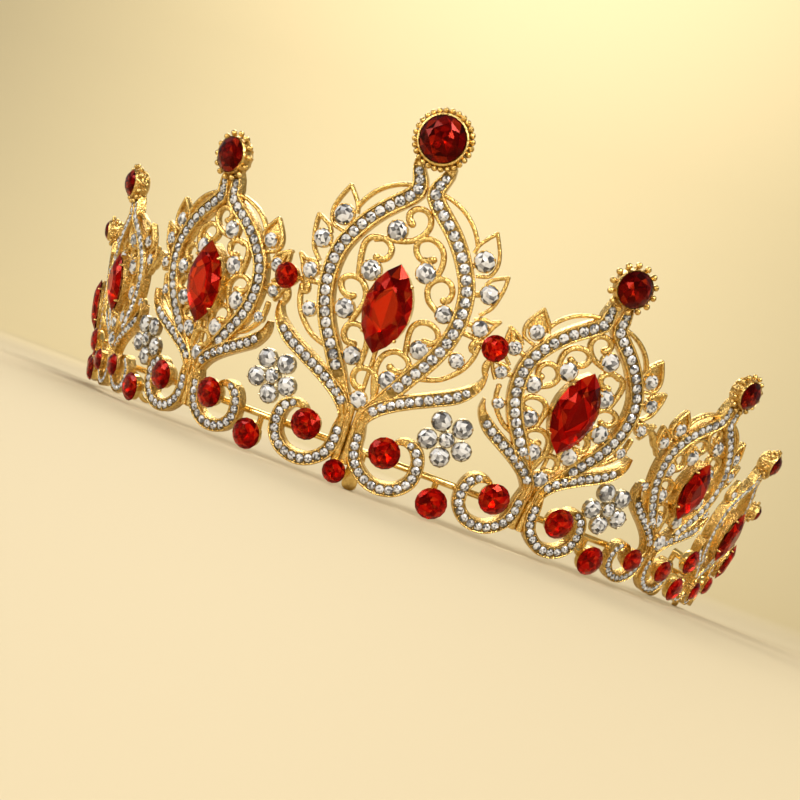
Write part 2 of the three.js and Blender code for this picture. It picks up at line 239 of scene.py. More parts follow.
@dataclass(frozen=True)
class StoneFinish:
    """A cut glass stone: a clear crown over foil facets, each with a random tone that picks its painted
    reflection colour, dark to bright.
    """

    name: str
    crown: PaintedSparkleRamp
    clarity: float
    foil: PaintedSparkleRamp
    index: float
    foil_roughness: float
    foil_metal: float
    gloss: Solid = (1.0, 1.0, 1.0)
    polish: float = 0.02
    foil_scale: float = 900.0

    def materials(self) -> tuple[bpy.types.Material, bpy.types.Material]:
        """The crown's glass and the foil behind it.

        Returns:
            The two materials, in the order of a stone's material indices.
        """
        glass, front = new_material(f"{self.name}_glass")
        glass.node_tree.links.new(facet_colours(glass, self.crown), front.inputs["Base Color"])
        front.inputs["Transmission Weight"].default_value = self.clarity
        front.inputs["IOR"].default_value = self.index
        front.inputs["Roughness"].default_value = self.polish
        front.inputs["Specular Tint"].default_value = (*self.gloss, 1)
        foil, back = new_material(f"{self.name}_foil")
        links = foil.node_tree.links
        links.new(facet_colours(foil, self.foil), back.inputs["Base Color"])
        back.inputs["Metallic"].default_value = self.foil_metal
        noise = object_noise(foil, self.foil_scale, 2.0)
        rough = foil.node_tree.nodes.new("ShaderNodeMapRange")
        rough.inputs["To Min"].default_value = self.foil_roughness * 0.5
        rough.inputs["To Max"].default_value = self.foil_roughness * 1.5
        links.new(noise.outputs["Fac"], rough.inputs["Value"])
        links.new(rough.outputs["Result"], back.inputs["Roughness"])
        return glass, foil


CAST_GOLD = Gold("cast_gold", (0.86, 0.61, 0.22), (0.50, 0.31, 0.08), 0.20, 0.9)
WIRE_GOLD = Gold("wire_gold", (0.90, 0.67, 0.26), (0.74, 0.52, 0.17), 0.18, 0.15)
# Painted shade: a dark gold for the floor and walls inside the stone channels, standing in for the shade
# between the stones.
PAINTED_SHADE_GOLD = Gold("recess_gold", (0.42, 0.275, 0.085), (0.20, 0.12, 0.03), 0.40, 0.6)
PALE_GOLD = Gold("flower_gold", (0.62, 0.53, 0.36), (0.38, 0.31, 0.19), 0.22, 0.35)
# Stone ramps: each stone's own red or clear colour, spread from near black to bright by each facet's random
# tone. That spread and the pale tops of the foil ramps are painted reflections and highlights.
RED = StoneFinish(
    "red_stone", ((0.0, (0.13, 0.0, 0.0)), (0.42, (0.47, 0.002, 0.001)), (0.72, (0.95, 0.015, 0.004)),
                  (1.0, (1.0, 0.11, 0.02))), 0.85,
    ((0.0, (0.02, 0.0, 0.0)), (0.4, (0.30, 0.01, 0.005)), (0.7, (0.95, 0.15, 0.04)), (1.0, (1.0, 0.85, 0.4))),
    1.52, 0.14, 0.55, (1.0, 0.08, 0.05),
)
DEEP_RED = StoneFinish(
    "deep_red_stone", ((0.0, (0.02, 0.0, 0.0)), (0.5, (0.15, 0.001, 0.001)), (0.8, (0.46, 0.006, 0.003)),
                       (1.0, (0.95, 0.06, 0.01))), 0.8,
    ((0.0, (0.01, 0.0, 0.0)), (0.5, (0.16, 0.005, 0.003)), (0.8, (0.85, 0.10, 0.03)),
     (1.0, (1.0, 0.6, 0.25))),
    1.52, 0.14, 0.55, (1.0, 0.08, 0.05),
)
CLEAR = StoneFinish(
    "clear_stone", ((0.0, (0.05, 0.05, 0.055)), (0.22, (0.20, 0.20, 0.21)), (0.45, (0.62, 0.62, 0.63)),
                    (0.66, (1.0, 1.0, 1.0))), 0.34,
    ((0.0, (0.05, 0.05, 0.055)), (0.3, (0.30, 0.30, 0.31)), (0.5, (0.85, 0.85, 0.85)),
     (1.0, (1.0, 1.0, 1.0))),
    1.60, 0.2, 0.32,
)


@dataclass
class Palette:
    """Every material of the tiara, each made once."""

    cast: bpy.types.Material = field(default_factory=CAST_GOLD.material)
    wire: bpy.types.Material = field(default_factory=WIRE_GOLD.material)
    painted_shade: bpy.types.Material = field(default_factory=PAINTED_SHADE_GOLD.material)
    pale: bpy.types.Material = field(default_factory=PALE_GOLD.material)
    red: tuple[bpy.types.Material, ...] = field(default_factory=RED.materials)
    deep: tuple[bpy.types.Material, ...] = field(default_factory=DEEP_RED.materials)
    clear: tuple[bpy.types.Material, ...] = field(default_factory=CLEAR.materials)


# Paths


def spline(points: Sequence[Flat], steps: int) -> list[Vector]:
    """A smooth line through points.

    Args:
        points: Places that the line passes through.
        steps: Stretches between its ends.

    Returns:
        The line's points, evenly spaced along its length.
    """
    finer = 12
    fixed = [Vector(point) for point in points]
    dense: list[Vector] = []
    last = len(fixed) - 1
    for i in range(last):
        before, start, end, after = (fixed[max(0, min(last, i + k))] for k in (-1, 0, 1, 2))
        for j in range(finer):
            t = j / finer
            curve = (end - before) * t + (2 * before - 5 * start + 4 * end - after) * t**2
            curve += (3 * start - before - 3 * end + after) * t**3
            dense.append(start + curve * 0.5)
    dense.append(fixed[last])
    lengths = np.concatenate(([0], np.cumsum([(b - a).length for a, b in zip(dense, dense[1:])])))
    spaced = np.linspace(0, lengths[-1], steps + 1)
    columns = [np.interp(spaced, lengths, [point[axis] for point in dense]) for axis in (0, 1)]
    return [Vector((x, y)) for x, y in zip(*columns)]


def line_length(line: Sequence[Vector]) -> float:
    """Length of a line of points."""
    return sum((b - a).length for a, b in zip(line, line[1:]))


def along(line: Sequence[Vector], share: float) -> tuple[Vector, Vector]:
    """Place and direction at a share of a line.

    Args:
        line: Evenly spaced points.
        share: From 0 at its start to 1 at its end.

    Returns:
        The point there and the unit direction of the line.
    """
    spot = round(min(max(share, 0.0), 1.0) * (len(line) - 1), 4)
    i = min(int(spot), len(line) - 2)
    here = line[i].lerp(line[i + 1], spot - i)
    ahead = line[min(i + 2, len(line) - 1)] - line[max(i - 1, 0)]
    return here, ahead.normalized()


def ring_points(centre: Flat, radius: float, start: float, end: float, count: int) -> list[Flat]:
    """Points on an arc.

    Args:
        centre: Centre of the arc.
        radius: Its radius.
        start: Angle of the first point, in degrees.
        end: Angle of the last point, in degrees.
        count: How many points.

    Returns:
        The points in order.
    """
    angles = np.radians(np.linspace(start, end, count))
    return [(centre[0] + radius * math.cos(a), centre[1] + radius * math.sin(a)) for a in angles]


def round_points(centre: Flat, radius: float, start: float, count: int) -> list[Flat]:
    """Points spaced evenly all round a circle.

    Args:
        centre: Centre of the circle.
        radius: Its radius.
        start: Angle of the first point, in degrees.
        count: How many points.

    Returns:
        The points in order.
    """
    return ring_points(centre, radius, start, start + 360 - 360 / count, count)


def mirrored(points: Iterable[Flat], hand: int) -> list[Flat]:
    """Points turned over to the other side when hand is negative."""
    return [(x * hand, y) for x, y in points]


# Metalwork and stones

# Sections, as share of the half width and depth: a channel for stones, and a rim with a rounded face
CHANNEL: tuple[Flat, ...] = (
    (-0.94, -0.95), (0.94, -0.95), (1.0, -0.8), (1.0, 0.72), (0.92, 0.97), (0.8, 1.02),
    (0.68, 0.92), (0.62, 0.5), (-0.62, 0.5), (-0.68, 0.92), (-0.8, 1.02), (-0.92, 0.97),
    (-1.0, 0.72), (-1.0, -0.8),
)
# The floor and walls inside this share of the channel take painted shade.
CHANNEL_INSIDE = 0.7  # share of the half width inside which its floor and walls lie
RIM: tuple[Flat, ...] = (
    (-0.8, -0.65), (0.8, -0.65), (1.0, -0.5), (1.0, 0.2), (0.7, 0.45), (0.0, 0.55), (-0.7, 0.45),
    (-1.0, 0.2), (-1.0, -0.5),
)


SHARP_ANGLE = math.radians(48)


class Metalwork:
    """Metal of one piece, gathered in one mesh as its parts are bent into place."""

    def __init__(self, place: Place) -> None:
        """Starts empty, with the map that bends its flat parts."""
        self.mesh = bmesh.new()
        self.place = place

    def take(self, part: bmesh.types.BMesh, place: Place | None = None) -> None:
        """Bends a part into place and adds it.

        Args:
            part: Closed part in flat millimetres, freed here.
            place: Map into the row frame, or None for the piece's own.
        """
        bmesh.ops.recalc_face_normals(part, faces=part.faces)
        move = place or self.place
        for vertex in part.verts:
            vertex.co = move(vertex.co)
        loose = bpy.data.meshes.new("part")
        part.to_mesh(loose)
        part.free()
        self.mesh.from_mesh(loose)
        bpy.data.meshes.remove(loose)

    def sweep(self, section: Sequence[Flat], line: Sequence[Vector], half: Callable[[float], float],
              level: float = 0.0, row: Flat | None = None) -> None:
        """A bar of one section along a flat line.

        Args:
            section: Closed outline, across as a share of the half width and depth in millimetres.
            line: Evenly spaced points that it follows.
            half: Half width at a share of the line.
            level: Depth added all along.
            row: Shares of the line between which a channel's inside gets painted shade, or None.
        """
        part = bmesh.new()
        steps = len(line) - 1
        corners = [part.verts.new((0, across, depth)) for across, depth in section]
        cap = part.faces.new(corners)
        grown = bmesh.ops.extrude_face_region(part, geom=[cap])
        moved = [item for item in grown["geom"] if isinstance(item, bmesh.types.BMVert)]
        bmesh.ops.translate(part, verts=moved, vec=(1, 0, 0))
        runs = [edge for edge in part.edges if abs(edge.verts[0].co.x - edge.verts[1].co.x) > 0.5]
        if steps > 1:
            bmesh.ops.subdivide_edges(part, edges=runs, cuts=steps - 1)
        # Faces inside the channel between these shares take material 1, the painted shade.
        for face in part.faces if row else []:
            inside = all(abs(vertex.co.y) < CHANNEL_INSIDE for vertex in face.verts)
            face.material_index = int(inside and row[0] < face.calc_center_median().x < row[1])
        for vertex in part.verts:
            share, across, depth = vertex.co
            here, ahead = along(line, share)
            beside = Vector((-ahead.y, ahead.x)) * across * half(share)
            vertex.co = (here.x + beside.x, here.y + beside.y, depth + level)
        self.take(part)

    def wire(self, line: Sequence[Vector], radius: float, level: float = 0.0, sides: int = 8) -> None:
        """Round wire along a flat line."""
        section = [(x, y * radius) for x, y in ring_points((0, 0), 1, 0, 360, sides + 1)[1:]]
        self.sweep(section, line, lambda share: radius, level)

    def ball(self, centre: Flat, radius: float, depth: float, finer: bool = False,
             stretch: tuple[float, float, float] = (1, 1, 1)) -> None:
        """A bead or claw of metal on the face.

        Args:
            centre: Flat place.
            radius: Radius of the bead.
            depth: Depth of its centre.
            finer: Whether it is large enough to need a rounder mesh.
            stretch: Scale of each axis.
        """
        part = bmesh.new()
        if finer:
            bmesh.ops.create_uvsphere(part, u_segments=8, v_segments=5, radius=radius)
        else:
            bmesh.ops.create_icosphere(part, subdivisions=1, radius=radius)
        bmesh.ops.scale(part, verts=part.verts, vec=stretch)
        bmesh.ops.translate(part, verts=part.verts, vec=(*centre, depth))
        self.take(part)

    def turned(self, centre: Flat, profile: Sequence[Flat], steps: int = 16,
               place: Place | None = None) -> None:
        """A turned cup or rim.

        Args:
            centre: Flat place of its axis.
            profile: Radius and depth of its points, from axis to axis.
            steps: Sides of the turned piece.
            place: Map into the row frame, or None for the piece's own.
        """
        part = bmesh.new()
        points = [part.verts.new((radius, 0, depth)) for radius, depth in profile]
        edges = [part.edges.new(pair) for pair in zip(points, points[1:])]
        bmesh.ops.spin(part, geom=points + edges, cent=(0, 0, 0), axis=(0, 0, 1), dvec=(0, 0, 0),
                       angle=math.tau, steps=steps, use_merge=True)
        bmesh.ops.remove_doubles(part, verts=part.verts, dist=1e-5)
        bmesh.ops.translate(part, verts=part.verts, vec=(*centre, 0))
        self.take(part, place)

    def plate(self, outline: Sequence[Flat], back: float, front: float, soften: float) -> None:
        """A flat plate with softened edges.

        Args:
            outline: Its corners in order.
            back: Depth of its back.
            front: Depth of its face.
            soften: Width of the rounding.
        """
        part = bmesh.new()
        face = part.faces.new([part.verts.new((x, y, back)) for x, y in outline])
        grown = bmesh.ops.extrude_face_region(part, geom=[face])
        moved = [item for item in grown["geom"] if isinstance(item, bmesh.types.BMVert)]
        bmesh.ops.translate(part, verts=moved, vec=(0, 0, front - back))
        rims = [edge for edge in part.edges if abs(edge.verts[0].co.z - edge.verts[1].co.z) < 1e-6]
        bmesh.ops.bevel(part, geom=rims, offset=soften, affect="EDGES", segments=2, profile=0.5, material=-1)
        self.take(part)

    def cup(self, centre: Flat, stone: float, back: float, girdle: float, claws: int,
            turn: float = 45.0) -> None:
        """A cup for a round stone, closed behind, with claws over its edge.

        Args:
            centre: Flat place of the stone.
            stone: Radius of the stone.
            back: Depth of the cup's back.
            girdle: Depth of the stone's widest line.
            claws: How many claws hold it.
            turn: Angle of the first claw, in degrees.
        """
        wall = stone + 0.14
        profile = [(0, back), (wall * 0.8, back), (wall, back + 0.25), (wall, girdle + 0.06),
                   (wall - 0.1, girdle + 0.1), (stone * 0.92, girdle - 0.1), (stone * 0.6, back + 0.3),
                   (0, back + 0.25)]
        self.turned(centre, profile, 14)
        claw = max(0.24, 0.15 * stone)
        for spot in round_points(centre, stone * 0.97, turn, claws):
            self.ball(spot, claw, girdle + 0.16, stretch=(1, 1, 1.35))

    def seat(self, centre: Flat, radius: float, back: float, front: float) -> None:
        """A cup that stays hidden behind its stone.

        Args:
            centre: Flat place of the stone.
            radius: Radius of the stone.
            back: Depth of the cup's back.
            front: Depth of its lip.
        """
        lip, floor = radius * 0.9, radius * 0.5
        profile = [(0, back), (lip * 0.75, back), (lip, front - 0.4 * radius), (lip, front),
                   (lip * 0.94, front), (floor, front - 0.5 * radius), (0, front - 0.58 * radius)]
        self.turned(centre, profile, 18)

    def finish(self, name: str, materials: Iterable[bpy.types.Material], slot: str) -> bpy.types.Object:
        """The gathered metal as an object.

        Args:
            name: Name of the piece.
            materials: Its finish, and the painted shade of the insides of its channels if it has any.
            slot: Not used.

        Returns:
            The object, riding on the tiara.
        """
        mesh = bpy.data.meshes.new(name)
        self.mesh.to_mesh(mesh)
        self.mesh.free()
        mesh.shade_smooth()
        mesh.set_sharp_from_angle(angle=SHARP_ANGLE)
        return dressed(name, mesh, materials)


def dressed(name: str, mesh: bpy.types.Mesh, materials: Iterable[bpy.types.Material]) -> bpy.types.Object:
    """An object with its materials, riding on the tiara.

    Args:
        name: Name of the piece.
        mesh: Its mesh, in the row frame.
        materials: Finishes in the order of the mesh's material indices.

    Returns:
        The object.
    """
    for material in materials:
        mesh.materials.append(material)
    piece = bpy.data.objects.new(name, mesh)
    bpy.context.scene.collection.objects.link(piece)
    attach(piece, ROOT)
    return piece


@dataclass(frozen=True)
class StonePattern:
    """Facets of a stone of unit size: its corners, and its faces with the crown apart from the foil."""

    corners: np.ndarray
    faces: tuple[tuple[int, ...], ...]
    foiled: np.ndarray


NAVETTE_RATIO = 0.53
# Rings of the marquise, as scale, shift, corners on each arc and depth, and the keel's corners
NAVETTE_RINGS = ((0.5, 0.0, 7, 0.2), (0.76, 0.5, 7, 0.14), (1.0, 0.0, 7, 0.0), (0.62, 0.5, 5, -0.12))
NAVETTE_KEEL: tuple[Flat, ...] = ((0, -0.45), (0, 0), (0, 0.45))
NAVETTE_KEEL_DEPTH = -0.2
# Rings of the round cuts, as share of the radius, corners, first angle and depth, and depths of the two tips
ROUND_CUTS: dict[Cut, tuple[tuple[Ring, ...], Flat]] = {
    Cut.BRILLIANT: (((0.3, 8, 22.5, 0.36), (0.56, 8, 0, 0.32), (0.8, 8, 22.5, 0.2), (1, 16, 0, 0.0),
                     (0.55, 8, 22.5, -0.3)), (0.385, -0.5)),
    Cut.SINGLE: (((0.42, 5, 0, 0.35), (0.76, 7, 20, 0.22), (1, 10, 0, 0.0)), (0.39, -0.5)),
    Cut.CHIP: (((0.5, 6, 0, 0.37), (1, 8, 10, 0.0)), (0.43, -0.5)),
}
FLAT_ENOUGH = math.radians(1.5)


def navette_outline(scale: float, turn: float, count: int) -> list[Flat]:
    """Outline of a marquise stone of unit half length: two arcs that meet at its tips.

    Args:
        scale: Size against the whole stone.
        turn: Shift of the points along the outline, in steps.
        count: Points along each arc.

    Returns:
        The outline's points.
    """
    radius = (1 + NAVETTE_RATIO**2) / (2 * NAVETTE_RATIO)
    sweep = math.asin(1 / radius)
    points: list[Flat] = []
    for side in (1, -1):
        for i in range(count):
            angle = sweep * (2 * (i + turn) / count - 1)
            across = radius * math.cos(angle) - radius + NAVETTE_RATIO
            points.append((side * scale * across, side * scale * radius * math.sin(angle)))
    return points


def cut_pattern(cut: Cut) -> StonePattern:
    """Facets of a stone, found as the skin of its rings of corners.

    Args:
        cut: How it is cut.

    Returns:
        The pattern, with its widest line at depth 0.
    """
    rings: list[tuple[Iterable[Flat], float]] = []
    if cut is Cut.NAVETTE:
        for scale, turn, count, depth in NAVETTE_RINGS:
            rings.append((navette_outline(scale, turn, count), depth))
        rings.append((NAVETTE_KEEL, NAVETTE_KEEL_DEPTH))
    else:
        rows, tips = ROUND_CUTS[cut]
        for share, count, start, depth in rows:
            rings.append((round_points((0, 0), share, start, count), depth))
        rings += [([(0, 0)], depth) for depth in tips]
    skin = bmesh.new()
    for outline, depth in rings:
        for x, y in outline:
            skin.verts.new((x, y, depth))
    bmesh.ops.convex_hull(skin, input=skin.verts)
    bmesh.ops.dissolve_limit(skin, angle_limit=FLAT_ENOUGH, verts=skin.verts, edges=skin.edges)
    loose = [vertex for vertex in skin.verts if not vertex.link_faces]
    bmesh.ops.delete(skin, geom=loose, context="VERTS")
    bmesh.ops.recalc_face_normals(skin, faces=skin.faces)
    skin.verts.index_update()
    corners = np.array([vertex.co[:] for vertex in skin.verts])
    faces = tuple(tuple(vertex.index for vertex in face.verts) for face in skin.faces)
    foiled = np.array([face.normal.z < 0 for face in skin.faces], dtype=np.int32)
    skin.free()
    return StonePattern(corners, faces, foiled)


class StoneTray:
    """Stones of one piece, placed as copies of cut patterns in one mesh."""

    patterns: dict[Cut, StonePattern] = {}

    def __init__(self, seed: int = 11) -> None:
        """Starts with no stones.

        Args:
            seed: Seed for the painted reflection tones of their facets.
        """
        self.corners: list[np.ndarray] = []
        self.faces: list[tuple[int, ...]] = []
        self.foiled: list[np.ndarray] = []
        self.count = 0
        self.chance = np.random.default_rng(seed)

    def put(self, cut: Cut, place: Matrix, size: float, turn: float = 0.0) -> None:
        """Adds a stone.

        Args:
            cut: How it is cut.
            place: Axes of its setting, in millimetres.
            size: Radius, or half length of a marquise.
            turn: Turn about its own axis, in degrees.
        """
        if cut not in self.patterns:
            self.patterns[cut] = cut_pattern(cut)
        pattern = self.patterns[cut]
        matrix = np.array(place @ Matrix.Rotation(math.radians(turn), 4, "Z") @ Matrix.Scale(size, 4))
        self.corners.append(pattern.corners @ matrix[:3, :3].T + matrix[:3, 3])
        self.faces += [tuple(i + self.count for i in face) for face in pattern.faces]
        self.foiled.append(pattern.foiled)
        self.count += len(pattern.corners)

    def finish(self, name: str, materials: Iterable[bpy.types.Material], slot: str) -> bpy.types.Object:
        """The stones as an object.

        Args:
            name: Name of the piece.
            materials: Glass and foil.
            slot: Not used.

        Returns:
            The object, riding on the tiara.
        """
        mesh = bpy.data.meshes.new(name)
        mesh.from_pydata(np.vstack(self.corners).tolist(), [], self.faces)
        mesh.polygons.foreach_set("material_index", np.concatenate(self.foiled))
        # Each facet gets a random tone that picks its painted reflection colour.
        tones = mesh.attributes.new(PAINTED_SPARKLE_TONE, "FLOAT", "FACE")
        tones.data.foreach_set("value", self.chance.random(len(self.faces)).astype(np.float32))
        mesh.update()
        return dressed(name, mesh, materials)


# Panels

KNEE = 12.0  # height of the template below which a panel scales with its foot
TEMPLATE_FINIAL = 59.2
NAVETTE_UP = 30.3
SEAT = 1.1  # depth of the red stones' seats
NAVETTE_GIRDLE = SEAT + 1.05
BEAD_GIRDLE = SEAT + 0.85
BEAD_LIP = SEAT + 0.8
FINIAL_GIRDLE = 2.25
CLEAR_GIRDLE = 0.42
CLEAR_DEPTH = 0.5
PAVE_DEPTH = 0.82
GRAIN_DEPTH = 0.86

# Right half of the template panel, as distance across and height
OGEE: tuple[Flat, ...] = (
    (2.5, 56.4), (2.85, 54.9), (2.3, 53.3), (1.6, 51.8), (1.5, 50.3), (2.7, 48.8), (4.5, 47.2),
    (6.5, 45.3), (8.4, 43.0), (10.0, 40.5), (11.2, 38.0), (11.75, 35.5), (11.85, 33.0), (11.6, 30.5),
    (11.0, 28.0), (10.0, 25.5),
    (8.65, 23.0), (7.3, 21.0), (6.1, 19.0), (4.7, 16.9), (3.2, 14.8), (1.9, 12.9), (1.2, 11.0),
)
SEPAL: tuple[Flat, ...] = (
    (1.45, 9.0), (1.75, 11.2), (3.2, 13.3), (5.6, 15.1), (8.6, 16.8), (11.8, 18.4), (14.9, 20.0),
    (17.1, 21.7), (18.6, 23.6), (19.1, 25.9),
)
SCROLL: tuple[Flat, ...] = (
    (1.6, 10.4), (1.85, 8.3), (1.9, 6.0), (2.7, 3.6), (4.4, 1.9), (6.4, 0.95), (8.7, 0.9),
    (10.9, 1.75), (12.6, 3.7), (13.0, 6.2), (12.5, 8.4), (11.0, 9.7), (9.2, 9.8), (8.0, 8.9),
)
NECK_VINE: tuple[Flat, ...] = ((2.5, 51.0), (4.6, 50.5), (6.8, 49.5), (8.6, 48.1), (9.9, 46.5), (10.7, 45.0))
SIDE_VINE: tuple[Flat, ...] = (
    (16.3, 29.4), (16.0, 27.3), (15.1, 25.2), (13.6, 23.4), (11.7, 21.9), (9.2, 21.0), (7.6, 20.8),
)
NECK_SHARES = (0.3, 0.5, 0.68)  # how far in the side panels draw the first points of the ogee
BEAD: Flat = (7.1, 7.2)
STEM_STONE = (0.2, 9.8, 1.55)


@dataclass(frozen=True)
class Volute:
    """A clear stone and the curl of wire that ends at it, in the template panel."""

    stone: Flat
    radius: float
    last: int
    tied: bool
    curl: tuple[Flat, ...]


VOLUTES = (
    Volute((2.8, 43.1), 1.7, 2, False, (
        (6.2, 40.6), (4.4, 41.2), (2.1, 41.5), (0.0, 42.2), (-1.5, 43.5), (-2.2, 45.2), (-1.8, 46.8),
        (-0.6, 47.6), (0.9, 47.4), (1.7, 46.4), (1.5, 45.4), (0.8, 44.8))),
    Volute((-4.0, 37.9), 1.7, 2, False, (
        (-5.7, 37.0), (-6.2, 39.8), (-5.7, 42.0), (-4.3, 43.2), (-2.6, 43.4), (-1.2, 42.5), (-1.2, 41.0),
        (-2.2, 39.9), (-3.5, 39.9), (-4.5, 40.4))),
    Volute((5.0, 35.5), 1.75, 2, False, (
        (6.8, 33.6), (7.6, 37.5), (7.5, 39.9), (6.2, 41.0), (4.2, 41.0), (2.9, 40.0), (2.9, 38.5),
        (3.9, 37.7), (4.9, 37.8))),
    Volute((-9.0, 32.5), 1.5, 3, True, (
        (-7.6, 32.6), (-5.9, 33.7), (-5.1, 35.5), (-5.6, 37.0), (-7.0, 37.9), (-8.4, 37.6), (-9.2, 36.4),
        (-9.0, 35.0), (-8.2, 34.6))),
    Volute((7.4, 28.0), 1.7, 3, True, (
        (5.8, 26.0), (5.1, 28.0), (4.5, 30.0), (4.9, 32.0), (6.3, 33.4), (8.3, 33.5), (9.5, 32.4),
        (9.0, 30.9), (7.7, 30.2), (6.7, 30.4))),
    Volute((-7.0, 25.5), 1.6, 2, True, (
        (-5.0, 23.8), (-4.5, 27.8), (-5.3, 29.6), (-7.0, 30.2), (-8.7, 29.6), (-9.4, 28.2), (-8.7, 27.2),
        (-7.3, 27.0))),
    Volute((3.6, 20.8), 1.6, 2, True, (
        (1.9, 19.2), (1.8, 23.0), (2.4, 25.0), (4.1, 26.1), (5.9, 25.6), (6.3, 24.0), (5.5, 22.8),
        (4.0, 22.7))),
    Volute((-3.6, 18.8), 1.6, 3, True, (
        (-2.0, 15.6), (-1.2, 18.5), (-1.0, 20.8), (-1.7, 22.8), (-3.5, 23.9), (-5.4, 23.4), (-6.2, 22.2),
        (-5.6, 21.0), (-4.0, 20.6), (-3.2, 21.1))),
    Volute((0.2, 14.0), 1.5, 1, False, (
        (-2.2, 14.8), (-2.0, 17.5), (-1.2, 18.9), (0.5, 19.5), (2.0, 18.9), (2.4, 17.5), (1.7, 16.2),
        (0.4, 15.9))),
)


@dataclass(frozen=True)
class Leaf:
    """A clear stone outside the ogee, in a pointed leaf of two rims or beside the vine, in the template."""

    stone: Flat
    radius: float
    last: int
    outer: tuple[Flat, ...] = ()
    inner: tuple[Flat, ...] = ()


LEAVES = (
    Leaf((12.6, 43.0), 1.75, 3,
         ((12.0, 40.3), (14.1, 41.0), (14.9, 42.8), (14.7, 44.6), (14.0, 46.3), (13.1, 48.0)),
         ((13.1, 48.0), (11.9, 46.6), (10.9, 45.2), (10.5, 43.7))),
    Leaf((15.1, 38.2), 1.6, 2,
         ((14.6, 34.4), (16.2, 36.2), (16.9, 38.4), (17.2, 40.2), (17.2, 41.9)),
         ((17.2, 41.9), (15.8, 41.2), (14.7, 40.5), (14.0, 39.4))),
    Leaf((15.5, 32.4), 1.4, 1,
         ((15.9, 30.5), (16.9, 32.0), (17.5, 33.3), (18.3, 34.6)),
         ((18.3, 34.6), (16.9, 34.0), (15.6, 34.1), (14.1, 33.4))),
    Leaf((13.5, 26.0), 1.3, 2),
)


@dataclass(frozen=True)
class PanelSize:
    """Sizes of one panel: its place, its scales against the template, and its red stones."""

    key: str
    arc: float
    finial: float
    wide: float
    reach: float
    foot: float
    navette: float
    cup: float
    ruby: float
    bead: float
    beads: int


PANELS = (
    PanelSize("centre", 0.0, 59.2, 1.0, 1.0, 1.0, 15.6, 5.2, 3.8, 2.8, 2),
    PanelSize("1", 32.7, 48.2, 0.92, 0.78, 0.9, 15.2, 4.5, 3.1, 2.8, 2),
    PanelSize("2", 62.3, 41.5, 0.78, 0.6, 0.7, 12.0, 4.0, 2.6, 2.3, 2),
    PanelSize("3", 85.7, 33.7, 0.58, 0.42, 0.5, 11.6, 3.4, 2.1, 2.1, 1),
    PanelSize("4", 100.2, 24.5, 0.42, 0.29, 0.36, 8.8, 2.6, 1.6, 0.0, 0),
)


